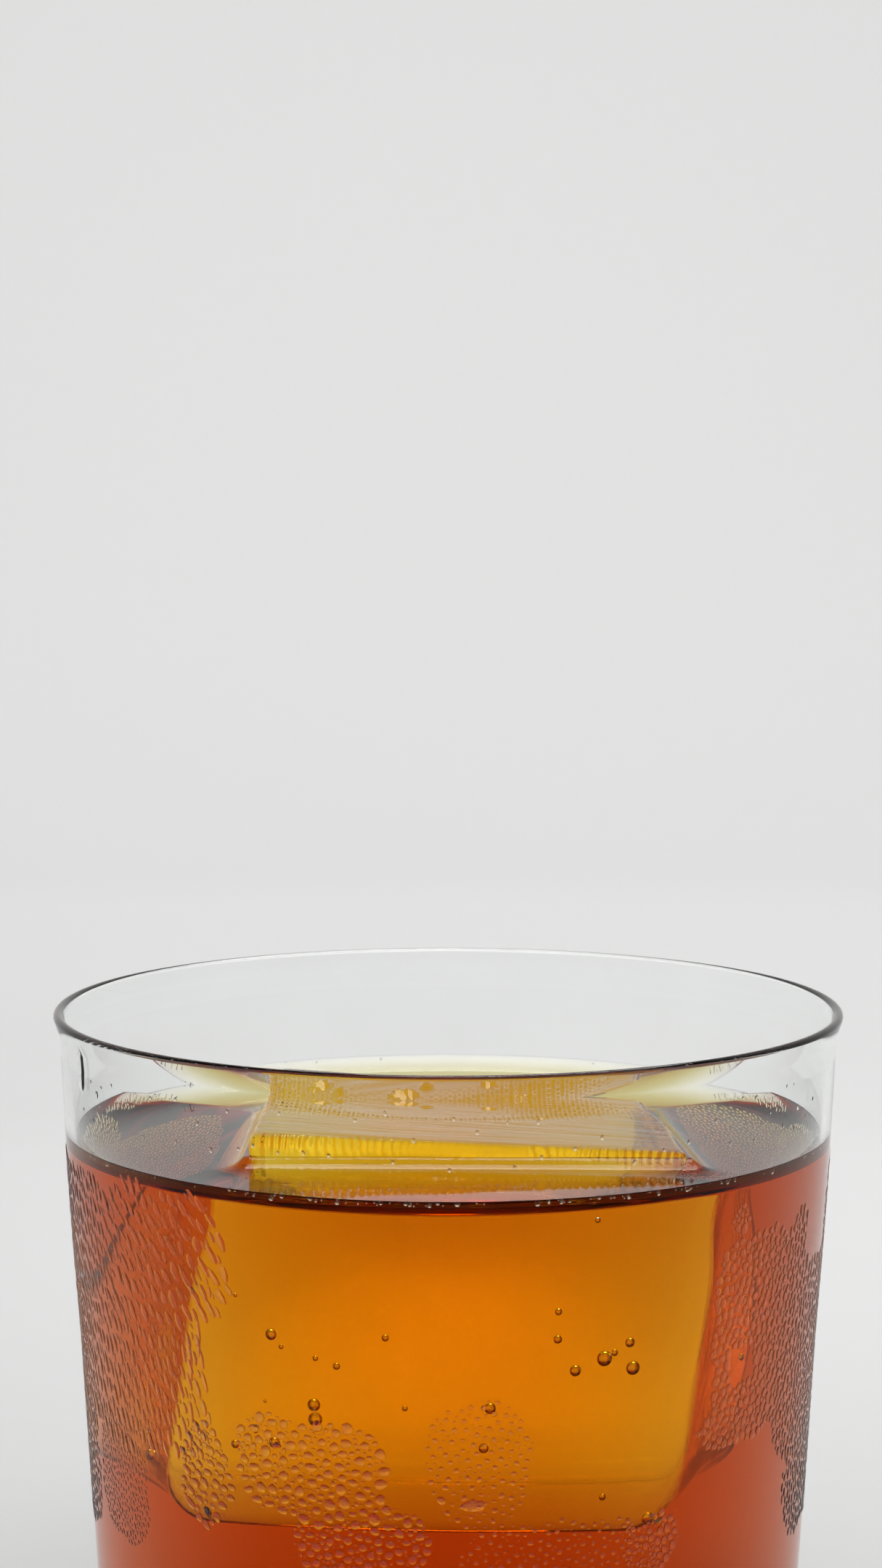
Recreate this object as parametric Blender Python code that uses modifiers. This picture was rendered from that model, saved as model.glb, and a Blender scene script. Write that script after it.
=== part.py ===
"""Coffee soda: a thin tapered tumbler of clear amber drink with one large block of clear ice.

Metres, +Z up. The origin is the centre of the tumbler's base, on the surface it stands on, and
the side that faces the viewer is -Y. The block floats tilted, with its rear corners near the wall.
"""

import math

import bmesh
import bpy

# Tumbler
GLASS_HEIGHT = 0.095
RIM_RADIUS = 0.0440
RIM_THICKNESS = 0.0011
NECK_RADIUS = 0.0434
NECK_DROP = 0.0026
TAPER = 0.0587
SHOULDER_SWELL = 0.0002
SHOULDER_LENGTH = 0.036
WALL_TOP = 0.0010
WALL_FOOT = 0.0021
BASE_THICKNESS = 0.0100
FLOOR_CORNER = 0.0070
FLOOR_DOME = 0.0008
FOOT_CORNER = 0.0030
PUNT_RADIUS = 0.0270
PUNT_DEPTH = 0.0010
PUNT_SLOPE = 0.0030

# How finely the turned shapes are divided
AROUND = 60
WALL_ROWS = 9
FLOOR_RINGS = 4
CORNER_STEPS = 6
FLOOR_CORNER_END = -6
MENISCUS_RINGS = 5
LEVEL_RINGS = 3

# Drink: the meniscus falls away from the wall by a factor of e in each reach
LEVEL = GLASS_HEIGHT - 0.0155
MENISCUS_RISE = 0.0024
MENISCUS_REACH = 0.0016
MENISCUS_REACHES = 3.4
FIT_GAP = 0.0003

# Ice block: its corners from the front left round to the back left, with heights from the level
ICE_TOP = (
    (-0.0216, -0.0150, 0.0038),
    (0.0266, -0.0160, 0.0018),
    (0.0230, 0.0215, 0.0018),
    (-0.0207, 0.0245, 0.0040),
)
ICE_BOTTOM = (
    (-0.0270, -0.0170, -0.0376),
    (0.0206, -0.0180, -0.0382),
    (0.0200, 0.0215, -0.0400),
    (-0.0255, 0.0225, -0.0395),
)
ICE_HALF = (0.0245, 0.0230, 0.0190)
ICE_CORNER = 0.0030
ICE_CUTS = 13

# Slow waves on the block's faces: their height, and their lengths along X, Y and Z
WAVE_HEIGHT = 0.00022
WAVE_X = 0.0203
WAVE_Y = 0.0242
WAVE_Z = 0.0330
WAVE_LEAN = 0.0524

# Melt round the block just under the level: its depth, the height of its middle and its reach
NOTCH_DEPTH = 0.0009
NOTCH_HEIGHT = -0.0045
NOTCH_REACH = 0.0055

# Melt hollow in the top of the block: centre, half sizes and depth
HOLLOW = (-0.0030, 0.0105, 0.0165, 0.0085, 0.0008)
MELT_FADE = 8


def clear_scene():
    for obj in list(bpy.data.objects):
        bpy.data.objects.remove(obj, do_unlink=True)


def new_collection(name):
    collection = bpy.data.collections.new(name)
    bpy.context.scene.collection.children.link(collection)
    return collection


def new_material(name, colour, roughness, alpha, ior):
    material = bpy.data.materials.new(name)
    material.use_nodes = True
    shader = material.node_tree.nodes["Principled BSDF"]
    shader.inputs["Base Color"].default_value = (*colour, 1.0)
    shader.inputs["Roughness"].default_value = roughness
    shader.inputs["Metallic"].default_value = 0.0
    shader.inputs["IOR"].default_value = ior
    shader.inputs["Transmission Weight"].default_value = 1.0 - alpha
    return material


def arc(centre_x, centre_z, radius, start_deg, end_deg, steps):
    """Points on a round corner of a profile, in the X-Z plane, both ends included."""
    points = []
    for i in range(steps + 1):
        angle = math.radians(start_deg + (end_deg - start_deg) * i / steps)
        points.append((centre_x + radius * math.cos(angle), centre_z + radius * math.sin(angle)))
    return points


def outer_radius(z):
    """Outside of the wall: a straight taper with a slight swell under the rim."""
    drop = GLASS_HEIGHT - z
    swell = SHOULDER_SWELL * math.sin(math.pi * min(drop / SHOULDER_LENGTH, 1.0))
    return NECK_RADIUS - TAPER * drop + swell


def inner_radius(z):
    """Inside of the wall, which is thickest at the foot."""
    share = (GLASS_HEIGHT - z) / GLASS_HEIGHT
    return outer_radius(z) - WALL_TOP - (WALL_FOOT - WALL_TOP) * share * share


def floor_height(x):
    """Top of the thick base, a little domed in the middle."""
    share = x / (inner_radius(BASE_THICKNESS) - FLOOR_CORNER)
    return BASE_THICKNESS + FLOOR_DOME * (1.0 - share * share)


def cavity_profile(gap, top):
    """Inside of the tumbler from the centre of its floor up the wall to height top, drawn in by gap."""
    first = BASE_THICKNESS + FLOOR_CORNER
    corner_x = inner_radius(first) - FLOOR_CORNER
    points = []
    for i in range(FLOOR_RINGS):
        x = corner_x * i / FLOOR_RINGS
        points.append((x, floor_height(x) + gap))
    points += arc(corner_x, first, FLOOR_CORNER - gap, -90, FLOOR_CORNER_END, CORNER_STEPS)
    for i in range(1, WALL_ROWS + 1):
        z = first + (top - first) * i / WALL_ROWS
        points.append((inner_radius(z) - gap, z))
    return points


def glass_profile():
    """Half section of the tumbler: up the inside, over the rim, down the outside and under the base."""
    bead = RIM_THICKNESS / 2
    rim_z = GLASS_HEIGHT - bead
    points = cavity_profile(0.0, GLASS_HEIGHT - NECK_DROP)
    points += arc(RIM_RADIUS - bead, rim_z, bead, 180, 0, CORNER_STEPS)
    first = GLASS_HEIGHT - NECK_DROP
    for i in range(WALL_ROWS + 1):
        z = first + (FOOT_CORNER - first) * i / WALL_ROWS
        points.append((outer_radius(z), z))
    foot_x = outer_radius(FOOT_CORNER) - FOOT_CORNER
    points += arc(foot_x, FOOT_CORNER, FOOT_CORNER, 0, -90, CORNER_STEPS)[1:]
    points += [(PUNT_RADIUS, 0.0), (PUNT_RADIUS - PUNT_SLOPE, PUNT_DEPTH), (0.0, PUNT_DEPTH)]
    return points


def drink_profile():
    """Half section of the drink: it climbs the wall in a small meniscus."""
    wall_top = LEVEL + MENISCUS_RISE
    points = cavity_profile(FIT_GAP, wall_top)
    wall_x = points[-1][0]
    for i in range(1, MENISCUS_RINGS + 1):
        reach = MENISCUS_REACHES * (i / MENISCUS_RINGS) ** 1.5
        rise = MENISCUS_RISE * math.exp(-reach)
        points.append((wall_x - reach * MENISCUS_REACH, LEVEL + rise))
    level_x = points[-1][0]
    for i in range(1, LEVEL_RINGS + 1):
        points.append((level_x * (1.0 - i / LEVEL_RINGS), LEVEL))
    return points


def turned(name, profile, material, collection):
    """A solid of revolution from a half section at +X."""
    mesh = bpy.data.meshes.new(name)
    vertices = [(x, 0.0, z) for x, z in profile]
    edges = [(i, i + 1) for i in range(len(profile) - 1)]
    mesh.from_pydata(vertices, edges, [])
    obj = bpy.data.objects.new(name, mesh)
    collection.objects.link(obj)
    screw = obj.modifiers.new("Turn", "SCREW")
    screw.steps = AROUND
    screw.render_steps = AROUND
    screw.use_merge_vertices = True
    screw.merge_threshold = 0.00001
    screw.use_smooth_shade = True
    obj.data.materials.append(material)
    return obj


def melt_depth(x, y):
    """Depth at x, y of the smooth oval hollow."""
    centre_x, centre_y, half_x, half_y, depth = HOLLOW
    share = ((x - centre_x) / half_x) ** 2 + ((y - centre_y) / half_y) ** 2
    return depth * math.exp(-share * share)


def wave_height(x, y, z):
    """How far the slow waves push a point of the block out."""
    along = math.sin(math.tau * (x / WAVE_X + z / WAVE_Z))
    across = math.cos(math.tau * (y / WAVE_Y - z / WAVE_LEAN))
    return WAVE_HEIGHT * along * across


def notch(z):
    """How far the melt under the level draws the block's sides in at a height."""
    share = (z - NOTCH_HEIGHT) / NOTCH_REACH
    return NOTCH_DEPTH * math.exp(-share * share)


def rounded(point):
    """A point of the unit cube moved onto a block with round edges, still from -1 to 1 each way."""
    core = [max(-h + ICE_CORNER, min(h - ICE_CORNER, p * h)) for p, h in zip(point, ICE_HALF)]
    away = [p * h - c for p, h, c in zip(point, ICE_HALF, core)]
    length = math.sqrt(sum(a * a for a in away))
    return [(c + ICE_CORNER * a / length) / h for c, a, h in zip(core, away, ICE_HALF)]


def in_block(point, grow):
    """A point from -1 to 1 placed between the eight corners of the block, with each face out by grow."""
    u, v, w = (p * (1.0 + grow / h) for p, h in zip(point, ICE_HALF))
    left, right = (1 - u) / 2, (1 + u) / 2
    front, back = (1 - v) / 2, (1 + v) / 2
    down, up = (1 - w) / 2, (1 + w) / 2
    shares = (left * front, right * front, right * back, left * back)
    place = [0.0, 0.0, 0.0]
    for share, high, low in zip(shares, ICE_TOP, ICE_BOTTOM):
        for axis in range(3):
            place[axis] += share * (up * high[axis] + down * low[axis])
    return place


def ice_block(name, grow, collection):
    """The block, with its melt hollow on top and slow waves on its sides."""
    mesh = bpy.data.meshes.new(name)
    shape = bmesh.new()
    bmesh.ops.create_cube(shape, size=2.0)
    bmesh.ops.subdivide_edges(shape, edges=shape.edges[:], cuts=ICE_CUTS, use_grid_fill=True)
    for vertex in shape.verts:
        across, along, up = vertex.co
        x, y, z = in_block(rounded((across, along, up)), grow)
        wave = wave_height(x, y, z)
        melt = max(0.0, up) ** MELT_FADE * melt_depth(x, y)
        side_x = x + wave * abs(across) - notch(z) * across
        side_y = y + wave * abs(along) - notch(z) * along
        vertex.co = (side_x, side_y, LEVEL + z - melt)
    shape.to_mesh(mesh)
    shape.free()
    mesh.shade_smooth()
    obj = bpy.data.objects.new(name, mesh)
    collection.objects.link(obj)
    return obj


def cut_away(obj, cutter):
    cutter.hide_render = True
    cutter.display_type = "WIRE"
    cut = obj.modifiers.new("Room for the ice", "BOOLEAN")
    cut.operation = "DIFFERENCE"
    cut.solver = "EXACT"
    cut.object = cutter


def main():
    clear_scene()
    parts = new_collection("coffee_soda_parts")
    cutters = new_collection("cutters")
    glass = new_material("clear_glass", (0.95, 0.97, 0.96), 0.02, 0.1, 1.5)
    drink = new_material("amber_drink", (0.72, 0.20, 0.01), 0.02, 0.1, 1.34)
    ice = new_material("clear_ice", (0.93, 0.95, 0.96), 0.04, 0.1, 1.31)
    turned("tumbler", glass_profile(), glass, parts)
    soda = turned("coffee_soda", drink_profile(), drink, parts)
    block = ice_block("ice_block", 0.0, parts)
    block.data.materials.append(ice)
    cut_away(soda, ice_block("ice_room", FIT_GAP, cutters))


main()
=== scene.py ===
"""The looks of a coffee soda: clear amber drink and one block of ice in a thin, misted tumbler.

Metres, +Z up. The tumbler stands on Z = 0 at the origin, and -Y is the side that faces the viewer.
Angles round the tumbler are in degrees from -Y, positive towards +X.
"""

import math
import random

import bmesh
import bpy
import numpy as np
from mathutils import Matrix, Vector, noise


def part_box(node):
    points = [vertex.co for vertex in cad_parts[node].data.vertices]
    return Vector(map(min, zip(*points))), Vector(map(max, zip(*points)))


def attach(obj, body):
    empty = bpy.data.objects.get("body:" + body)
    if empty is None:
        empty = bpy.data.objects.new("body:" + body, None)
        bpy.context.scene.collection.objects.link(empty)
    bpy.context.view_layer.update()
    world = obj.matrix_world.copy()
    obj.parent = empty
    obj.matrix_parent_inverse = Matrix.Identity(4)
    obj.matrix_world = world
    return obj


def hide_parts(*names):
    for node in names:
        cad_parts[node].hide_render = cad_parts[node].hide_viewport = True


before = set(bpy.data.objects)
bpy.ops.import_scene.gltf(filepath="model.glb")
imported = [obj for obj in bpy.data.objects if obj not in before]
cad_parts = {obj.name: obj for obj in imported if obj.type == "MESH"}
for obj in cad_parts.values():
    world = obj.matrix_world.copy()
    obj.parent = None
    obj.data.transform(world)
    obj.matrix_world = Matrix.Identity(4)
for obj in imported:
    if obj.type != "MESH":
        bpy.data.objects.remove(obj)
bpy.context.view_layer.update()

# The photograph's frame in pixels, and the camera, whose focal length is also given in those pixels
PHOTO_WIDTH = 1215
PHOTO_HEIGHT = 2160
SENSOR = 36.0
LENS = 81.8
FOCAL_PIXELS = LENS / SENSOR * PHOTO_HEIGHT
CAMERA_PLACE = Vector((-0.0008, -0.3945, 0.1600))
CAMERA_PITCH = 5.81

# Tumbler
GLASS_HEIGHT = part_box("tumbler")[1].z
RIM_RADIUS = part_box("tumbler")[1].x
RIM_THICKNESS = 0.0011
NECK_RADIUS = 0.0434
NECK_DROP = 0.0026
TAPER = 0.0587
SHOULDER_SWELL = 0.0002
SHOULDER_LENGTH = 0.036
WALL_TOP = 0.0010
WALL_FOOT = 0.0021
BASE_THICKNESS = 0.0100
FLOOR_CORNER = 0.0070
FLOOR_DOME = 0.0008
FOOT_CORNER = 0.0030
PUNT_RADIUS = 0.0270
PUNT_DEPTH = 0.0010
PUNT_SLOPE = 0.0030

# Drink: it reaches just into the wall, so that no air gap shows
LEVEL = GLASS_HEIGHT - 0.0155
MENISCUS_RISE = 0.0024
MENISCUS_REACH = 0.0016
WALL_OVERLAP = 0.00012

# Ice block: its corners from the front left round to the back left, with heights from the level
ICE_TOP = (
    (-0.0216, -0.0150, 0.0038),
    (0.0266, -0.0160, 0.0018),
    (0.0230, 0.0215, 0.0018),
    (-0.0207, 0.0245, 0.0040),
)
ICE_BOTTOM = (
    (-0.0270, -0.0170, -0.0376),
    (0.0206, -0.0180, -0.0382),
    (0.0200, 0.0215, -0.0400),
    (-0.0255, 0.0225, -0.0395),
)
ICE_HALF = np.array((0.0245, 0.0230, 0.0190))
ICE_EDGE_TOP = 0.0012
ICE_EDGE_BOTTOM = 0.0050
ICE_OVERLAP = 0.00012
ICE_MENISCUS_RISE = 0.0014
ICE_MENISCUS_REACH = 0.0013

# Slow waves on the block's faces: their height, and their lengths along X, Y and Z
WAVE_HEIGHT = 0.00022
WAVE_X = 0.0203
WAVE_Y = 0.0242
WAVE_Z = 0.0330
WAVE_LEAN = 0.0524

# Melt round the block just under the level: its depth, the height of its middle and its reach
NOTCH_DEPTH = 0.0009
NOTCH_HEIGHT = -0.0045
NOTCH_REACH = 0.0055

# Melt hollow in the top of the block, then the pits in it: centre, half sizes and depth. Their edges
# are ragged, and the melt fades towards the block's other faces, faster for a higher power.
HOLLOW = (-0.0030, 0.0105, 0.0165, 0.0085, 0.0008)
PITS = (
    (-0.0148, 0.0115, 0.0010, 0.0008, 0.0005),
    (-0.0128, 0.0128, 0.0006, 0.0006, 0.0003),
    (-0.0052, 0.0142, 0.0014, 0.0008, 0.0006),
    (-0.0025, 0.0128, 0.0008, 0.0006, 0.0003),
    (0.0048, 0.0132, 0.0008, 0.0007, 0.0005),
    (0.0105, 0.0030, 0.0008, 0.0006, 0.0004),
)
PIT_RAGGED = 0.45
PIT_RAG_SIZE = 0.0011
MELT_FADE = 8

# Fine relief of the block: notches along its front edge, crinkles on its left one, ridges on top.
# The notches wander along the edge by a share of their width, and their depth varies round a mean.
TOOTH_WIDTH = 0.00090
TOOTH_DEPTH = 0.00050
TOOTH_LENGTH = 0.0013
TOOTH_REACH = 2.0 * TOOTH_LENGTH
TOOTH_WANDER = 1.1
TOOTH_WANDER_LENGTH = 4.0 * TOOTH_WIDTH
TOOTH_MEAN = 0.7
TOOTH_VARIATION = 0.6
TOOTH_VARIATION_LENGTH = 1.7 * TOOTH_WIDTH
CRINKLE_DEPTH = 0.00022
CRINKLE_SIZE = 0.0007
CRINKLE_FADE = 0.0018
CRINKLE_REACH = 2.0 * CRINKLE_FADE
RIDGE_HEIGHT = 0.00007
RIDGE_LENGTH = 0.0140
RIDGE_WIDTH = 0.0013
RIDGE_LEAN = 0.12
RELIEF_HEIGHT = 3.0 * TOOTH_LENGTH
OTHER_NOISE = 5.0

# How far under the block's top face a point still lies on it, and the least length to divide by
ON_TOP = 1e-6
NEAR_ZERO = 1e-9

# How finely the shapes are divided. The rings of the drink's top lie closer together near the wall,
# and the block's rows near its top and near its front and back.
AROUND = 320
WALL_ROWS = 40
FLOOR_RINGS = 12
CORNER_STEPS = 16
FLOOR_CORNER_END = -6
FOOT_STEPS = 12
TOP_RINGS = 120
TOP_CROWDING = 0.8
ICE_DIVISIONS = (270, 100, 54)
ROOM_DIVISIONS = (48, 44, 36)
ICE_TOP_CROWDING = 1.5
ICE_SIDE_CROWDING = 0.28

# Edges with more than this many degrees between their faces stay sharp
SHARP_IN_DRINK = 40
SHARP_IN_DROPS = 60

# Condensation patches on the outside: angles from and to, heights from and to, how far apart the
# drops are, their largest and smallest radius, how much taller than wide they are, and their lean
MIST_LEFT = (
    (-60, -31, 0.0665, 0.0815, 1.12, 0.00062, 0.00016, 1.8, 0.50),
    (-110, -55, 0.0640, 0.0805, 1.04, 0.00048, 0.00014, 2.2, 0.30),
    (-80, -36, 0.0510, 0.0690, 1.12, 0.00048, 0.00014, 2.4, 0.22),
    (-140, -68, 0.0380, 0.0680, 1.00, 0.00040, 0.00016, 1.8, 0.10),
    (-70, -50, 0.0390, 0.0540, 1.25, 0.00026, 0.00010, 1.4, 0.10),
)
MIST_RIGHT = (
    (40, 62, 0.0530, 0.0765, 0.86, 0.00058, 0.00028, 1.10, -0.10),
    (35, 62, 0.0520, 0.0580, 0.88, 0.00050, 0.00024, 1.10, -0.10),
    (56, 108, 0.0475, 0.0770, 0.86, 0.00056, 0.00026, 1.20, -0.05),
    (42, 50, 0.0735, 0.0812, 0.90, 0.00036, 0.00018, 1.10, 0.00),
    (78, 106, 0.0730, 0.0800, 0.92, 0.00046, 0.00020, 1.60, 0.00),
)
MIST_RIGHT_LOW = (
    (101, 140, 0.0470, 0.0760, 0.95, 0.00052, 0.00024, 1.40, 0.00),
    (62, 140, 0.0380, 0.0505, 0.95, 0.00046, 0.00020, 1.50, 0.00),
)
MIST_FRONT = (
    (-45, -32, 0.0440, 0.0575, 1.10, 0.00060, 0.00014, 1.0, 0.30),
    (-34, -7, 0.0470, 0.0595, 1.12, 0.00070, 0.00014, 0.9, 0.00),
    (-25, -1, 0.0405, 0.0510, 1.12, 0.00056, 0.00014, 0.9, 0.00),
    (-4, 13, 0.0465, 0.0625, 1.70, 0.00034, 0.00012, 0.9, 0.00),
    (0, 32, 0.0385, 0.0490, 1.80, 0.00032, 0.00012, 0.9, 0.00),
    (27, 38, 0.0385, 0.0490, 0.95, 0.00048, 0.00018, 1.1, 0.00),
)
MIST_ABOVE = (
    (-134, -102, 0.0778, 0.0818, 1.30, 0.00026, 0.00010, 2.6, 0.30),
    (103, 136, 0.0778, 0.0818, 1.30, 0.00026, 0.00010, 2.6, -0.30),
    (-70, 70, 0.0840, 0.0920, 14.00, 0.00022, 0.00010, 1.3, 0.00),
)

# Places that a run has wiped clear: angles from and to, heights from and to
WIPED = (
    (66, 79, 0.0693, 0.0850),
    (45, 51, 0.0592, 0.0636),
)

# Single drops and runs: angle, height of the middle, radius, how much taller than wide
BIG_DROPS = (
    (-65.7, 0.0908, 0.00115, 2.2),
    (-60.0, 0.0889, 0.00034, 1.3),
    (67.5, 0.0697, 0.00075, 1.2),
    (70.5, 0.0689, 0.00055, 1.5),
    (-40.5, 0.0629, 0.00045, 6.0),
    (-38.5, 0.0655, 0.00034, 6.5),
    (3.5, 0.0500, 0.00130, 0.55),
)

# Form of a drop: how high its dome is, in radii, how far its base is sunk into the glass, its sides,
# the radius and height of its rings as shares of the whole, and the lobes that make it uneven
DROP_HEIGHT = 0.21
CELL_HEIGHT = 0.16
FRONT_DROP_HEIGHT = 0.34
LARGE_DROP_HEIGHT = 0.12
DROP_SINK = 0.00006
DROP_SIDES = 8
DROP_RINGS = ((0.82, 0.40), (0.48, 0.82))
DROP_UNEVEN = 0.16
DROP_LOBES = ((2.0, 0.6), (3.0, 0.5))

# How the drops of a patch vary: how fast they shrink from the first to the last, and the least and
# greatest share that each keeps of its size, its stretch and its lean
DROP_SHRINK = 1.6
DROP_SIZES = (0.7, 1.0)
DROP_STRETCHES = (0.8, 1.2)
DROP_LEANS = (0.5, 1.5)

# Border of a patch: how much of it stays bare, how ragged that is, the radius of its corners and the
# size of its bites
MIST_EDGE = 0.0012
MIST_RAGGED = 0.8
MIST_CORNER = 0.006
MIST_CLUMP = 0.0045

# How many places are tried for each drop that would fit, and the width and height of the cells that
# hold the drops while near ones are looked for
MIST_TRIES = 30
MIST_CELL = (0.0013, 0.0036)
DROP_SEED = 31

# Bubbles on the inside of the wall: how far behind it they are, and where the photograph shows them,
# as x, y and radius in its pixels. The place on the wall is found by halving a distance so many times.
BUBBLE_DEPTH = 0.0006
BUBBLES = (
    (374, 1837, 8), (388, 1854, 3.5), (325, 1783, 3), (531, 1842, 5), (435, 1870, 4), (464, 1881, 5),
    (433, 1934, 9), (435, 1954, 10), (366, 1929, 2.5), (353, 1970, 3.5), (325, 1988, 6), (379, 1986, 8),
    (558, 1939, 4), (208, 2002, 8), (288, 2081, 6), (769, 1806, 5), (768, 1844, 6), (867, 1848, 7),
    (832, 1870, 11), (846, 1862, 5), (871, 1883, 10), (792, 1887, 8), (675, 1939, 8), (666, 1994, 7),
    (823, 1680, 4), (829, 2061, 5), (891, 2090, 9), (903, 2094, 5), (1020, 1868, 5),
)
BUBBLE_SUBDIVISIONS = 3
SEARCH_STEPS = 40

# Small bubbles along the line where the drink meets the wall: their number and radii, how few of them
# are large, how far round they spread in degrees, how far under the line they hang, in radii and then
# in metres, and how far from the wall their middles are, in radii
SMALL_BUBBLES = 130
SMALL_BUBBLE_RADII = (0.00008, 0.00030)
SMALL_BUBBLE_RARITY = 3
SMALL_BUBBLE_SPREAD = 75.0
SMALL_BUBBLE_SINK = 0.55
SMALL_BUBBLE_SCATTER = 0.0004
SMALL_BUBBLE_INSET = (0.55, 0.9)
SMALL_BUBBLE_SUBDIVISIONS = 2

# Stage: plain pale paper that turns up all round into a wall, and that glows softly with distance
# from the tumbler, given as a share of the cove's radius
PAPER_COLOUR = (0.62, 0.62, 0.615)
PAPER_ROUGHNESS = 0.9
PAPER_GLOW = (
    (0.0, 0.0), (0.09, 0.04), (0.27, 0.075), (0.35, 0.085), (0.46, 0.155), (0.58, 0.22), (0.67, 0.23),
    (0.85, 0.22), (1.0, 0.195),
)
COVE_RADIUS = 1.3
COVE_CORNER = 0.45
COVE_TOP = 1.5
COVE_SIDES = 96
COVE_STEPS = 24

# Lights: shapes, places, targets, sizes, powers and spreads. The wall light reaches the back wall
# from over the camera. The key hangs over the floor behind the tumbler, and the top light, higher up
# there, is aimed at the tumbler. The glow is a small weak softbox with a grid, which lights the floor
# close behind the tumbler a little more, so that light comes through the drink.
SKY_COLOUR = (0.93, 0.96, 1.0)
SKY_GLOW = 0.15
LIGHTS = {
    "light_wall": ("RECTANGLE", (0.22, -1.15, 1.45), (0.0, 1.2, 0.35), (0.8, 0.5), 3.0, 60.0),
    "light_key": ("RECTANGLE", (0.08, 0.24, 0.55), (0.08, 0.24, 0.0), (0.30, 0.25), 1.85, 180.0),
    "light_top": ("RECTANGLE", (0.05, 0.30, 1.25), (0.0, 0.0, 0.08), (0.30, 0.10), 1.8, 180.0),
    "light_glow": ("ELLIPSE", (0.0, 0.285, 0.40), (0.0, 0.285, 0.0), (0.060, 0.20), 0.024, 13.0),
}

# Clear materials: colour, index of refraction, how much they keep of their straight-on reflection,
# roughness of their smudges, and size and depth of their fine relief
DRINK_IOR = 1.34
CLEAR_MATERIALS = {
    "clear_glass": ((0.985, 0.995, 0.99), 1.5, 0.06, 0.03, 0.020, 0.00003),
    "clear_ice": ((0.99, 0.995, 1.0), 1.31, 0.3, 0.05, 0.0016, 0.000012),
    "amber_drink": ((1.0, 1.0, 1.0), DRINK_IOR, 0.0, 0.0, 0.016, 0.00002),
    "clear_water": ((1.0, 1.0, 1.0), 1.33, 1.0, 0.02, 0.0012, 0.000004),
}
RELIEF_DETAIL = 2.0

# Faint smudges on every clear surface: their size and detail, the range of the noise over which they
# roughen it and over which they tint it, and how much of the colour they keep
SMUDGE_SIZE = 0.012
SMUDGE_DETAIL = 3.0
SMUDGE_RANGE = (0.50, 0.72)
TINT_RANGE = (0.35, 0.75)
TINT_DIP = 0.985

# Drink colour: what a metre of it takes from red, green and blue light
ABSORPTION = (8.5, 42.0, 260.0)

# Camera and render: how near and how far the camera sees, and how often light is followed on
CLIP_RANGE = (0.01, 20.0)
CLEAR_BOUNCES = 32
GLOSSY_BOUNCES = 12
DIFFUSE_BOUNCES = 4


def outer_radius(z):
    """Outside of the wall: a straight taper with a slight swell under the rim."""
    drop = GLASS_HEIGHT - z
    swell = SHOULDER_SWELL * np.sin(math.pi * np.minimum(drop / SHOULDER_LENGTH, 1.0))
    return NECK_RADIUS - TAPER * drop + swell


def inner_radius(z):
    """Inside of the wall, which is thickest at the foot."""
    share = (GLASS_HEIGHT - z) / GLASS_HEIGHT
    return outer_radius(z) - WALL_TOP - (WALL_FOOT - WALL_TOP) * share * share


def floor_height(x):
    """Top of the thick base, a little domed in the middle."""
    share = x / (inner_radius(BASE_THICKNESS) - FLOOR_CORNER)
    return BASE_THICKNESS + FLOOR_DOME * (1.0 - share * share)


def arc(centre_x, centre_z, radius, start_deg, end_deg, steps):
    """Points on a round corner of a profile, in the X-Z plane, both ends included."""
    points = []
    for i in range(steps + 1):
        angle = math.radians(start_deg + (end_deg - start_deg) * i / steps)
        points.append((centre_x + radius * math.cos(angle), centre_z + radius * math.sin(angle)))
    return points


def cavity_profile(grow, top):
    """Inside of the tumbler from the centre of its floor up the wall to height top, let out by grow."""
    first = BASE_THICKNESS + FLOOR_CORNER
    corner_x = inner_radius(first) - FLOOR_CORNER
    points = []
    for i in range(FLOOR_RINGS):
        x = corner_x * i / FLOOR_RINGS
        points.append((x, floor_height(x) - grow))
    points += arc(corner_x, first, FLOOR_CORNER + grow, -90, FLOOR_CORNER_END, CORNER_STEPS)
    for i in range(1, WALL_ROWS + 1):
        z = first + (top - first) * i / WALL_ROWS
        points.append((inner_radius(z) + grow, z))
    return points


def glass_profile():
    """Half section of the tumbler: up the inside, over the rim, down the outside and under the base."""
    bead = RIM_THICKNESS / 2
    points = cavity_profile(0.0, GLASS_HEIGHT - NECK_DROP)
    points += arc(RIM_RADIUS - bead, GLASS_HEIGHT - bead, bead, 180, 0, CORNER_STEPS)
    first = GLASS_HEIGHT - NECK_DROP
    for i in range(WALL_ROWS + 1):
        z = first + (FOOT_CORNER - first) * i / WALL_ROWS
        points.append((outer_radius(z), z))
    foot_x = outer_radius(FOOT_CORNER) - FOOT_CORNER
    points += arc(foot_x, FOOT_CORNER, FOOT_CORNER, 0, -90, FOOT_STEPS)[1:]
    points += [(PUNT_RADIUS, 0.0), (PUNT_RADIUS - PUNT_SLOPE, PUNT_DEPTH), (0.0, PUNT_DEPTH)]
    return points


def show(name, shape):
    """Puts a bmesh in the scene as a smooth object."""
    mesh = bpy.data.meshes.new(name)
    shape.to_mesh(mesh)
    shape.free()
    mesh.shade_smooth()
    obj = bpy.data.objects.new(name, mesh)
    bpy.context.scene.collection.objects.link(obj)
    return obj


def new_piece(name, vertices, faces):
    """Puts vertices and faces in the scene, turned inside out if their faces point in."""
    mesh = bpy.data.meshes.new(name)
    mesh.from_pydata([tuple(v) for v in vertices], [], faces)
    shape = bmesh.new()
    shape.from_mesh(mesh)
    bpy.data.meshes.remove(mesh)
    if shape.calc_volume(signed=True) < 0.0:
        bmesh.ops.reverse_faces(shape, faces=shape.faces)
    return show(name, shape)


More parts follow.
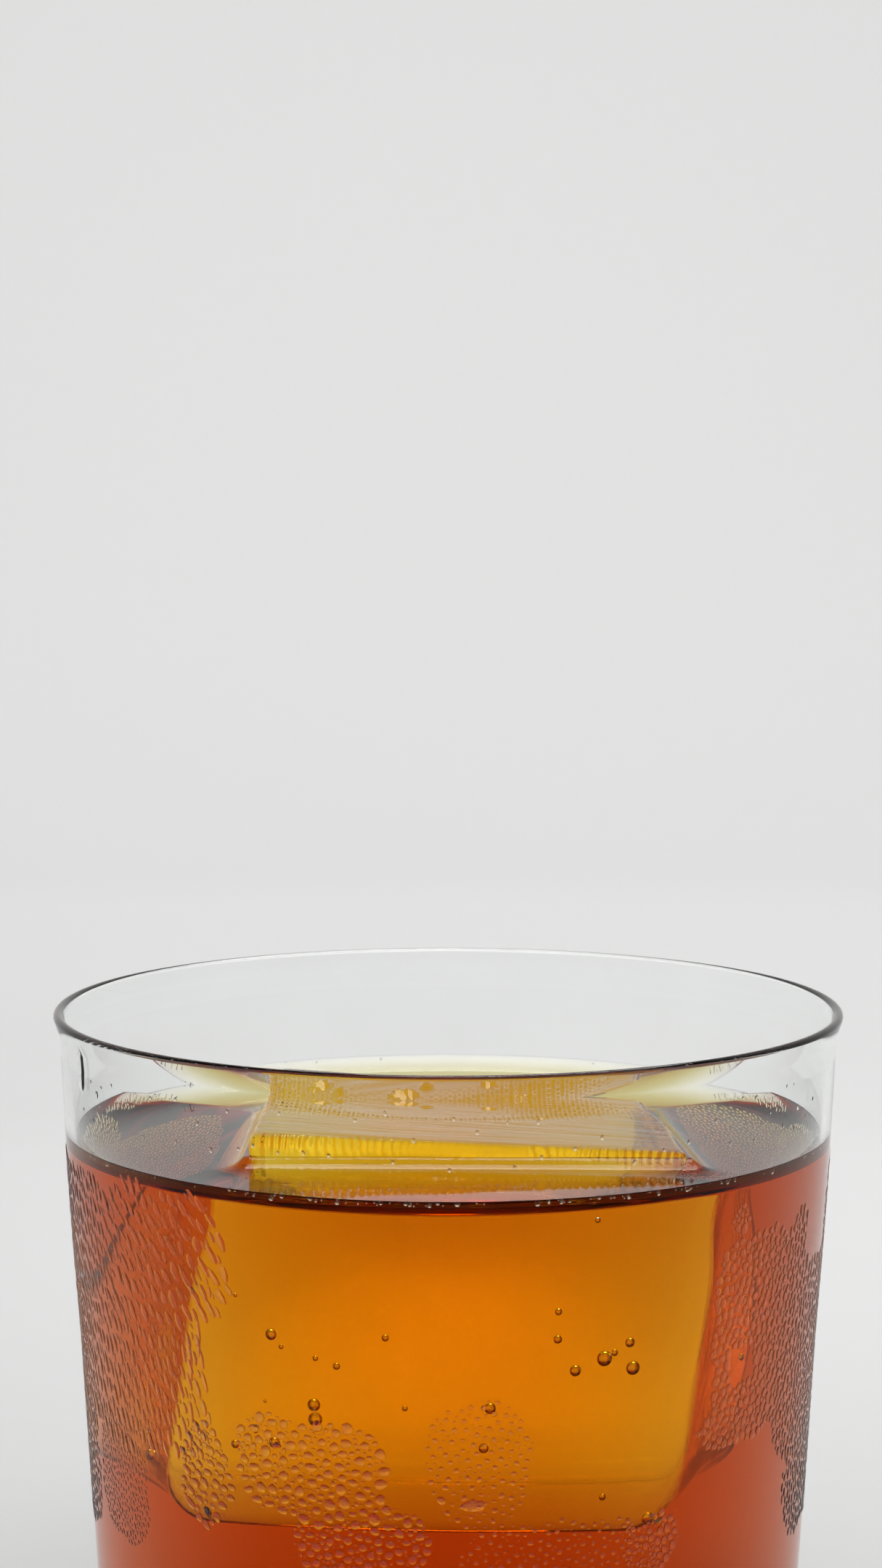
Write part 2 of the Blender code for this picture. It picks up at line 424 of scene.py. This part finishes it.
def turned(profile, segments):
    """Vertices and faces of a turned shape, from a half section that starts on the axis. The shape is
    closed where the section ends on the axis too."""
    closed = profile[-1][0] == 0.0
    rings = profile[1:-1] if closed else profile[1:]
    vertices = [(0.0, 0.0, profile[0][1])]
    for x, z in rings:
        for i in range(segments):
            angle = math.tau * i / segments
            vertices.append((x * math.sin(angle), -x * math.cos(angle), z))
    last_ring = 1 + (len(rings) - 1) * segments
    faces = []
    for i in range(segments):
        j = (i + 1) % segments
        faces.append((0, 1 + i, 1 + j))
        for low in range(1, last_ring, segments):
            high = low + segments
            faces.append((low + i, high + i, high + j, low + j))
        if closed:
            faces.append((last_ring + i, len(vertices), last_ring + j))
    if closed:
        vertices.append((0.0, 0.0, profile[-1][1]))
    return vertices, faces


def dent(x, y, shape):
    """Depth at x, y of an oval hollow with a ragged edge."""
    centre_x, centre_y, half_x, half_y, depth = shape
    share = ((x - centre_x) / half_x) ** 2 + ((y - centre_y) / half_y) ** 2
    share *= 1.0 + PIT_RAGGED * np.sin(math.tau * x / PIT_RAG_SIZE) * np.cos(math.tau * y / PIT_RAG_SIZE)
    return depth * np.exp(-share * share)


def melt_depth(x, y):
    """Depth at x, y of the melt hollow and the pits in the top of the block."""
    return sum(dent(x, y, shape) for shape in (HOLLOW, *PITS))


def on_block(unit, grow):
    """Points of the unit cube's surface moved onto the ice block, with each face out by grow."""
    height = (unit[:, 2:3] + 1.0) / 2.0
    edge = ICE_EDGE_BOTTOM + (ICE_EDGE_TOP - ICE_EDGE_BOTTOM) * height
    flat = unit * ICE_HALF
    core = np.clip(flat, -ICE_HALF + edge, ICE_HALF - edge)
    away = flat - core
    length = np.linalg.norm(away, axis=1, keepdims=True)
    block = (core + edge * away / np.maximum(length, NEAR_ZERO)) / ICE_HALF * (1.0 + grow / ICE_HALF)
    left, right = (1.0 - block[:, 0]) / 2.0, (1.0 + block[:, 0]) / 2.0
    front, back = (1.0 - block[:, 1]) / 2.0, (1.0 + block[:, 1]) / 2.0
    down, up = (1.0 - block[:, 2]) / 2.0, (1.0 + block[:, 2]) / 2.0
    shares = (left * front, right * front, right * back, left * back)
    place = np.zeros_like(unit)
    for share, high, low in zip(shares, ICE_TOP, ICE_BOTTOM):
        place += (share * up)[:, None] * np.array(high) + (share * down)[:, None] * np.array(low)
    x, y, z = place.T
    along = np.sin(math.tau * (x / WAVE_X + z / WAVE_Z))
    across = np.cos(math.tau * (y / WAVE_Y - z / WAVE_LEAN))
    wave = WAVE_HEIGHT * along * across
    notch = NOTCH_DEPTH * np.exp(-(((z - NOTCH_HEIGHT) / NOTCH_REACH) ** 2))
    place[:, 0] += wave * np.abs(unit[:, 0]) - notch * unit[:, 0]
    place[:, 1] += wave * np.abs(unit[:, 1]) - notch * unit[:, 1]
    place[:, 2] += LEVEL - np.maximum(0.0, unit[:, 2]) ** MELT_FADE * melt_depth(x, y)
    return place


def relief(unit, place):
    """Adds the fine relief to points of the block, given also as points of the unit cube."""
    below = np.maximum(0.0, (1.0 - unit[:, 2]) * ICE_HALF[2])
    from_left = np.maximum(0.0, (1.0 + unit[:, 0]) * ICE_HALF[0])
    from_front = np.maximum(0.0, (1.0 + unit[:, 1]) * ICE_HALF[1])
    for i in np.nonzero(below < RELIEF_HEIGHT)[0]:
        x, y, z = place[i]
        if from_front[i] < TOOTH_REACH:
            wander = TOOTH_WANDER * noise.noise(Vector((x, y, 0.0)) / TOOTH_WANDER_LENGTH)
            varied = noise.noise(Vector((x, 0.0, OTHER_NOISE)) / TOOTH_VARIATION_LENGTH)
            size = TOOTH_MEAN + TOOTH_VARIATION * varied
            tooth = 0.5 + 0.5 * math.cos(math.tau * (x / TOOTH_WIDTH + wander))
            fade = math.exp(-(((below[i] + from_front[i]) / TOOTH_LENGTH) ** 2))
            place[i, 1] += TOOTH_DEPTH * size * tooth * fade
            place[i, 2] -= TOOTH_DEPTH * size * tooth * fade
        if from_left[i] < CRINKLE_REACH:
            crinkle = noise.noise(Vector((x, y, z)) / CRINKLE_SIZE)
            fade = math.exp(-(((below[i] + from_left[i]) / CRINKLE_FADE) ** 2))
            place[i, 0] += CRINKLE_DEPTH * crinkle * fade
            place[i, 2] -= CRINKLE_DEPTH * abs(crinkle) * fade
        if below[i] < ON_TOP:
            leaned = y + RIDGE_LEAN * x
            ridge = noise.noise(Vector((x / RIDGE_LENGTH, leaned / RIDGE_WIDTH, 0.0)))
            place[i, 2] += RIDGE_HEIGHT * (1.0 - 2.0 * abs(ridge))
    return place


def box_grid(divisions):
    """Points and faces of a cube from -1 to 1 whose faces are grids, finer near its front, back and top."""
    across, along, up = (np.linspace(-1.0, 1.0, count + 1) for count in divisions)
    along = (1.0 - ICE_SIDE_CROWDING) * along + ICE_SIDE_CROWDING * np.sin(along * math.pi / 2.0)
    up = 1.0 - 2.0 * np.linspace(1.0, 0.0, divisions[2] + 1) ** ICE_TOP_CROWDING
    ticks = (across, along, up)
    numbers = {}
    points = []
    faces = []

    def number(key):
        if key not in numbers:
            numbers[key] = len(points)
            points.append([ticks[axis][key[axis]] for axis in range(3)])
        return numbers[key]

    for axis in range(3):
        a, b = (axis + 1) % 3, (axis + 2) % 3
        for side in (0, divisions[axis]):
            for i in range(divisions[a]):
                for j in range(divisions[b]):
                    ring = []
                    for di, dj in ((0, 0), (1, 0), (1, 1), (0, 1)):
                        key = [0, 0, 0]
                        key[axis], key[a], key[b] = side, i + di, j + dj
                        ring.append(number(tuple(key)))
                    faces.append(ring if side else ring[::-1])
    return np.array(points), faces


def ice_outline():
    """The block's four corners in the plane of the level."""
    corners = []
    for high, low in zip(ICE_TOP, ICE_BOTTOM):
        share = -low[2] / (high[2] - low[2])
        corners.append(np.array(low[:2]) + share * (np.array(high[:2]) - np.array(low[:2])))
    return corners


def distance_to_ice(points):
    """Distance in the plane of the level from points to the block, below zero inside it."""
    corners = ice_outline()
    nearest = np.full(len(points), np.inf)
    inside = np.full(len(points), True)
    for start, end in zip(corners, corners[1:] + corners[:1]):
        along = end - start
        offset = points - start
        share = np.clip(offset @ along / (along @ along), 0.0, 1.0)
        away = offset - share[:, None] * along
        nearest = np.minimum(nearest, np.linalg.norm(away, axis=1))
        inside &= along[0] * offset[:, 1] - along[1] * offset[:, 0] > 0
    return np.where(inside, -nearest, nearest)


def surface_height(points, wall_x):
    """Height of the drink at points in plan: it climbs the wall and the ice in small menisci."""
    from_wall = np.maximum(0.0, wall_x - np.linalg.norm(points, axis=1))
    from_ice = np.maximum(0.0, distance_to_ice(points))
    at_wall = MENISCUS_RISE * np.exp(-from_wall / MENISCUS_REACH)
    at_ice = ICE_MENISCUS_RISE * np.exp(-from_ice / ICE_MENISCUS_REACH)
    return LEVEL + np.hypot(at_wall, at_ice)


def make_tumbler():
    vertices, faces = turned(glass_profile(), AROUND)
    return new_piece("tumbler_glass", vertices, faces)


def make_drink(cutter):
    """The drink, with a room for the ice cut out of it by the cutter, which is then removed."""
    wall_top = LEVEL + MENISCUS_RISE
    profile = cavity_profile(WALL_OVERLAP, wall_top)
    wall_x = profile[-1][0]
    first_top = 1 + (len(profile) - 1) * AROUND
    for i in range(1, TOP_RINGS):
        share = 1.0 - i / TOP_RINGS
        profile.append((wall_x * share**TOP_CROWDING, LEVEL))
    profile.append((0.0, LEVEL))
    vertices, faces = turned(profile, AROUND)
    places = np.array(vertices)
    places[first_top:, 2] = surface_height(places[first_top:, :2], wall_x - WALL_OVERLAP)
    drink = new_piece("drink", places, faces)
    cut = drink.modifiers.new("Room for the ice", "BOOLEAN")
    cut.operation = "DIFFERENCE"
    cut.solver = "EXACT"
    cut.object = cutter
    bpy.context.view_layer.update()
    evaluated = drink.evaluated_get(bpy.context.evaluated_depsgraph_get())
    shaped = bpy.data.meshes.new_from_object(evaluated)
    drink.modifiers.remove(cut)
    drink.data = shaped
    drink.data.shade_smooth()
    drink.data.set_sharp_from_angle(angle=math.radians(SHARP_IN_DRINK))
    bpy.data.objects.remove(cutter)
    return drink


def make_ice(name, divisions, grow):
    """The block of ice with its relief, or the plain room that it fills, with each face out by grow."""
    unit, faces = box_grid(divisions)
    place = on_block(unit, grow)
    if grow == 0.0:
        place = relief(unit, place)
    return new_piece(name, place, faces)


def on_wall(angle, z, out):
    """Points on the outside of the wall, pushed out from it; angles in radians from -Y towards +X."""
    radius = outer_radius(z) + out
    return np.stack((radius * np.sin(angle), -radius * np.cos(angle), z), axis=-1)


def is_wiped(angle, z):
    """Whether a run has wiped the wall clear at an angle in degrees and a height."""
    return any(a < angle < b and low < z < high for a, b, low, high in WIPED)


def depth_in(patch, angle, z, wall):
    """How deep a point of the wall lies inside a patch with round corners, below zero outside it."""
    start, end, low, high = patch[:4]
    across = min(wall * (angle - math.radians(start)), wall * (math.radians(end) - angle))
    up = min(z - low, high - z)
    return MIST_CORNER - math.hypot(max(0.0, MIST_CORNER - across), max(0.0, MIST_CORNER - up))


def scatter_drops(patches, chance):
    """Drops of some patches, the largest of each first, none closer to another than its patch allows.
    The patches join where they overlap, and only their common border is left bare."""
    grid = {}
    drops = []
    wall = float(outer_radius(LEVEL))
    for start, end, low, high, apart, largest, smallest, stretch, lean in patches:
        width, height = math.radians(end - start) * wall, high - low
        tries = int(MIST_TRIES * width * height / (stretch * (apart * (largest + smallest)) ** 2))
        for i in range(tries):
            share = (1.0 - i / tries) ** DROP_SHRINK * chance.uniform(*DROP_SIZES)
            radius = smallest + (largest - smallest) * share
            along, up = chance.uniform(0.0, width), chance.uniform(0.0, height)
            angle, z = math.radians(start) + along / wall, low + up
            if is_wiped(math.degrees(angle), z):
                continue
            ragged = noise.noise(Vector((angle * wall, z, 0.0)) / MIST_CLUMP)
            deepest = max(depth_in(patch, angle, z, wall) for patch in patches)
            if deepest < MIST_EDGE * (1.0 + MIST_RAGGED * ragged):
                continue
            column, row = int(angle * wall // MIST_CELL[0]), int(z // MIST_CELL[1])
            near = [
                drop
                for c in (column - 1, column, column + 1)
                for r in (row - 1, row, row + 1)
                for drop in grid.get((c, r), ())
            ]
            if any(
                math.hypot(angle * wall - a, (z - u) / stretch) < apart * (radius + other)
                for a, u, other in near
            ):
                continue
            grid.setdefault((column, row), []).append((angle * wall, z, radius))
            tall = stretch * chance.uniform(*DROP_STRETCHES)
            drops.append((angle, z, radius, tall, lean * chance.uniform(*DROP_LEANS)))
    return drops


def make_drops(name, drops, dome, chance):
    """Drops of water on the wall, each a dome, dome radii high, whose closed base is sunk into the glass."""
    angle, z, radius, stretch, lean = np.array(drops).T
    turns = np.arange(DROP_SIDES) * math.tau / DROP_SIDES
    phases = np.array([[chance.uniform(0.0, math.tau) for _ in DROP_LOBES] for _ in drops])
    lobes = sum(
        share * np.sin(count * turns + phase[:, None])
        for (count, share), phase in zip(DROP_LOBES, phases.T)
    )
    uneven = 1.0 + DROP_UNEVEN * lobes
    rings = []
    for share, rise in ((1.0, 0.0),) + DROP_RINGS + ((0.0, 1.0),):
        across = radius[:, None] * share * uneven * np.cos(turns)
        up = radius[:, None] * share * uneven * np.sin(turns) * stretch[:, None]
        across = across - lean[:, None] * up
        out = np.broadcast_to(dome * rise * radius[:, None] - (0.0 if rise else DROP_SINK), across.shape)
        ring = on_wall(angle[:, None] + across / outer_radius(z)[:, None], z[:, None] + up, out)
        rings.append(ring if share else ring[:, :1])
    vertices = np.concatenate(rings, axis=1).reshape(-1, 3)
    a_drop = DROP_SIDES * (1 + len(DROP_RINGS)) + 1
    faces = []
    for first in range(0, len(vertices), a_drop):
        faces.append(tuple(first + i for i in reversed(range(DROP_SIDES))))
        for i in range(DROP_SIDES):
            j = (i + 1) % DROP_SIDES
            for ring in range(len(DROP_RINGS)):
                low = first + ring * DROP_SIDES
                high = low + DROP_SIDES
                faces.append((low + i, low + j, high + j, high + i))
            high = first + len(DROP_RINGS) * DROP_SIDES
            faces.append((high + i, high + j, first + a_drop - 1))
    piece = new_piece(name, vertices, faces)
    piece.data.set_sharp_from_angle(angle=math.radians(SHARP_IN_DROPS))
    return piece


def seen_at(pixel_x, pixel_y, depth):
    """The point in the drink, depth behind the wall, that the photograph shows at a pixel."""
    pitch = math.radians(CAMERA_PITCH)
    right = (pixel_x - PHOTO_WIDTH / 2.0) / FOCAL_PIXELS
    down = (pixel_y - PHOTO_HEIGHT / 2.0) / FOCAL_PIXELS
    ray = Vector((
        right,
        math.cos(pitch) - down * math.sin(pitch),
        -math.sin(pitch) - down * math.cos(pitch),
    )).normalized()
    near, far = 0.0, -CAMERA_PLACE.y / ray.y
    for _ in range(SEARCH_STEPS):
        middle = (near + far) / 2.0
        point = CAMERA_PLACE + ray * middle
        if math.hypot(point.x, point.y) > outer_radius(point.z):
            near = middle
        else:
            far = middle
    point = CAMERA_PLACE + ray * far
    outward = Vector((point.x, point.y, 0.0)).normalized()
    across = ray - outward * ray.dot(outward)
    bent = across / DRINK_IOR
    inward = math.sqrt(1.0 - bent.length_squared)
    wall = outer_radius(point.z) - inner_radius(point.z)
    return point + (bent - outward * inward) * (wall + depth) / inward


def add_hollows(drink, hollows):
    """Adds bubbles to the drink as hollows, so that their faces point into them."""
    shape = bmesh.new()
    shape.from_mesh(drink.data)
    for place, radius in hollows:
        made = bmesh.ops.create_icosphere(shape, subdivisions=BUBBLE_SUBDIVISIONS, radius=radius)
        ball = made["verts"]
        bmesh.ops.translate(shape, verts=ball, vec=place)
        shell = {face for vertex in ball for face in vertex.link_faces}
        bmesh.ops.reverse_faces(shape, faces=list(shell))
        for face in shell:
            face.smooth = True
    shape.to_mesh(drink.data)
    shape.free()


def photo_bubbles():
    """Places and radii of the bubbles that the photograph shows."""
    hollows = []
    for x, y, size in BUBBLES:
        place = seen_at(x, y, 0.0)
        radius = size * (place - CAMERA_PLACE).length / FOCAL_PIXELS
        hollows.append((seen_at(x, y, BUBBLE_DEPTH + radius), radius))
    return hollows


def make_rim_bubbles(chance):
    """Small bubbles that lie along the line where the drink meets the wall."""
    shape = bmesh.new()
    for _ in range(SMALL_BUBBLES):
        small, large = SMALL_BUBBLE_RADII
        radius = small + (large - small) * chance.random() ** SMALL_BUBBLE_RARITY
        angle = math.radians(chance.gauss(0.0, SMALL_BUBBLE_SPREAD))
        sink = SMALL_BUBBLE_SINK * radius + SMALL_BUBBLE_SCATTER * chance.random()
        z = LEVEL + MENISCUS_RISE - sink
        away = inner_radius(z) - radius * chance.uniform(*SMALL_BUBBLE_INSET)
        made = bmesh.ops.create_icosphere(shape, subdivisions=SMALL_BUBBLE_SUBDIVISIONS, radius=radius)
        place = (away * math.sin(angle), -away * math.cos(angle), z)
        bmesh.ops.translate(shape, verts=made["verts"], vec=place)
    return show("bubbles_rim", shape)


def add_noise(nodes, links, size, detail):
    """Socket of a noise whose features are about size metres across."""
    place = nodes.new("ShaderNodeTexCoord")
    grain = nodes.new("ShaderNodeTexNoise")
    grain.inputs["Scale"].default_value = 1.0 / size
    grain.inputs["Detail"].default_value = detail
    links.new(place.outputs["Object"], grain.inputs["Vector"])
    return grain.outputs["Fac"]


def spread_of(nodes, links, socket, start, end, low, high):
    """Socket that goes from low to high as another socket goes from start to end."""
    node = nodes.new("ShaderNodeMapRange")
    node.interpolation_type = "SMOOTHSTEP"
    for name, value in (("From Min", start), ("From Max", end), ("To Min", low), ("To Max", high)):
        node.inputs[name].default_value = value
    links.new(socket, node.inputs["Value"])
    return node.outputs["Result"]


def clear_material(name):
    """A see-through material with faint smudges and fine relief."""
    colour, ior, sheen, smear, relief_size, relief_depth = CLEAR_MATERIALS[name]
    material = bpy.data.materials.new(name)
    material.use_nodes = True
    nodes, links = material.node_tree.nodes, material.node_tree.links
    shader = nodes["Principled BSDF"]
    shader.inputs["IOR"].default_value = ior
    shader.inputs["Transmission Weight"].default_value = 1.0
    shader.inputs["Specular Tint"].default_value = (sheen, sheen, sheen, 1.0)
    smudges = add_noise(nodes, links, SMUDGE_SIZE, SMUDGE_DETAIL)
    links.new(spread_of(nodes, links, smudges, *SMUDGE_RANGE, 0.0, smear), shader.inputs["Roughness"])
    tint = nodes.new("ShaderNodeMix")
    tint.data_type = "RGBA"
    tint.inputs["A"].default_value = (*colour, 1.0)
    tint.inputs["B"].default_value = (*(c * TINT_DIP for c in colour), 1.0)
    links.new(spread_of(nodes, links, smudges, *TINT_RANGE, 0.0, 1.0), tint.inputs["Factor"])
    links.new(tint.outputs["Result"], shader.inputs["Base Color"])
    bump = nodes.new("ShaderNodeBump")
    bump.inputs["Distance"].default_value = relief_depth
    links.new(add_noise(nodes, links, relief_size, RELIEF_DETAIL), bump.inputs["Height"])
    links.new(bump.outputs["Normal"], shader.inputs["Normal"])
    return material


def drink_material():
    """The drink's clear material, with a volume that takes its light as the amber liquid does."""
    material = clear_material("amber_drink")
    nodes, links = material.node_tree.nodes, material.node_tree.links
    density = max(ABSORPTION)
    volume = nodes.new("ShaderNodeVolumeAbsorption")
    volume.inputs["Color"].default_value = (*(1.0 - a / density for a in ABSORPTION), 1.0)
    volume.inputs["Density"].default_value = density
    links.new(volume.outputs["Volume"], nodes["Material Output"].inputs["Volume"])
    return material


def fill_ramp(ramp, stops):
    """Gives a colour ramp these stops, each a place and a grey."""
    while len(ramp.elements) < len(stops):
        ramp.elements.new(0.5)
    for element, (place, grey) in zip(ramp.elements, stops):
        element.position = place
        element.color = (grey, grey, grey, 1.0)


def paper_material():
    """Plain pale paper, whose glow follows the distance from the tumbler."""
    material = bpy.data.materials.new("stage_paper")
    material.use_nodes = True
    nodes, links = material.node_tree.nodes, material.node_tree.links
    shader = nodes["Principled BSDF"]
    shader.inputs["Roughness"].default_value = PAPER_ROUGHNESS
    shader.inputs["Base Color"].default_value = (*PAPER_COLOUR, 1.0)
    shader.inputs["Emission Color"].default_value = (1.0, 1.0, 1.0, 1.0)
    place = nodes.new("ShaderNodeTexCoord")
    flat = nodes.new("ShaderNodeVectorMath")
    flat.operation = "MULTIPLY"
    flat.inputs[1].default_value = (1.0 / COVE_RADIUS, 1.0 / COVE_RADIUS, 0.0)
    away = nodes.new("ShaderNodeVectorMath")
    away.operation = "LENGTH"
    glow = nodes.new("ShaderNodeValToRGB")
    glow.color_ramp.interpolation = "CARDINAL"
    fill_ramp(glow.color_ramp, PAPER_GLOW)
    links.new(place.outputs["Object"], flat.inputs[0])
    links.new(flat.outputs["Vector"], away.inputs[0])
    links.new(away.outputs["Value"], glow.inputs["Fac"])
    links.new(glow.outputs["Color"], shader.inputs["Emission Strength"])
    material.cycles.emission_sampling = "NONE"
    return material


def make_stage():
    """A pale floor that turns up all round into a wall with no edge."""
    profile = [(0.0, 0.0), (COVE_RADIUS - COVE_CORNER, 0.0)]
    profile += arc(COVE_RADIUS - COVE_CORNER, COVE_CORNER, COVE_CORNER, -90, 0, COVE_STEPS)[1:]
    profile.append((COVE_RADIUS, COVE_TOP))
    cove = new_piece("stage_cove", *turned(profile, COVE_SIDES))
    cove.data.materials.append(paper_material())


def soft_light(name, shape, place, target, size, power, spread):
    """A soft lamp at place that is aimed at target and doesn't show itself to the camera."""
    light = bpy.data.lights.new(name, "AREA")
    light.shape = shape
    light.size, light.size_y = size
    light.energy = power
    light.spread = math.radians(spread)
    obj = bpy.data.objects.new(name, light)
    obj.location = place
    direction = Vector(target) - Vector(place)
    obj.rotation_euler = direction.to_track_quat("-Z", "Y").to_euler()
    obj.visible_camera = False
    bpy.context.scene.collection.objects.link(obj)


def make_lights():
    world = bpy.context.scene.world or bpy.data.worlds.new("World")
    bpy.context.scene.world = world
    world.use_nodes = True
    background = world.node_tree.nodes["Background"]
    background.inputs["Color"].default_value = (*SKY_COLOUR, 1.0)
    background.inputs["Strength"].default_value = SKY_GLOW
    for name, settings in LIGHTS.items():
        soft_light(name, *settings)


def make_camera():
    data = bpy.data.cameras.new("camera")
    data.sensor_width = SENSOR
    data.lens = LENS
    data.clip_start, data.clip_end = CLIP_RANGE
    camera = bpy.data.objects.new("camera", data)
    camera.location = CAMERA_PLACE
    camera.rotation_euler = (math.radians(90.0 - CAMERA_PITCH), 0.0, 0.0)
    bpy.context.scene.collection.objects.link(camera)
    bpy.context.scene.camera = camera


def set_look():
    scene = bpy.context.scene
    scene.view_settings.view_transform = "Standard"
    scene.view_settings.look = "None"
    scene.cycles.max_bounces = CLEAR_BOUNCES
    scene.cycles.transmission_bounces = CLEAR_BOUNCES
    scene.cycles.transparent_max_bounces = CLEAR_BOUNCES
    scene.cycles.glossy_bounces = GLOSSY_BOUNCES
    scene.cycles.diffuse_bounces = DIFFUSE_BOUNCES


def main():
    make_camera()
    set_look()
    make_stage()
    make_lights()

    tumbler = make_tumbler()
    tumbler.data.materials.append(clear_material("clear_glass"))
    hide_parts("tumbler")
    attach(tumbler, "root")

    block = make_ice("ice_clear", ICE_DIVISIONS, 0.0)
    block.data.materials.append(clear_material("clear_ice"))
    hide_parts("ice_block")
    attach(block, "root")

    drink = make_drink(make_ice("ice_room", ROOM_DIVISIONS, -ICE_OVERLAP))
    drink.data.materials.clear()
    drink.data.materials.append(drink_material())
    add_hollows(drink, photo_bubbles())
    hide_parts("coffee_soda")
    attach(drink, "root")

    chance = random.Random(DROP_SEED)
    water = clear_material("clear_water")
    for name, patches, dome in (
        ("mist_left", MIST_LEFT, DROP_HEIGHT),
        ("mist_right", MIST_RIGHT, CELL_HEIGHT),
        ("mist_right_low", MIST_RIGHT_LOW, DROP_HEIGHT),
        ("mist_front", MIST_FRONT, FRONT_DROP_HEIGHT),
        ("mist_above", MIST_ABOVE, DROP_HEIGHT),
    ):
        mist = make_drops(name, scatter_drops(patches, chance), dome, chance)
        mist.data.materials.append(water)
        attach(mist, "root")
    singles = [(math.radians(angle), z, radius, tall, 0.0) for angle, z, radius, tall in BIG_DROPS]
    for piece in (make_drops("drops_large", singles, LARGE_DROP_HEIGHT, chance), make_rim_bubbles(chance)):
        piece.data.materials.append(water)
        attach(piece, "root")


main()
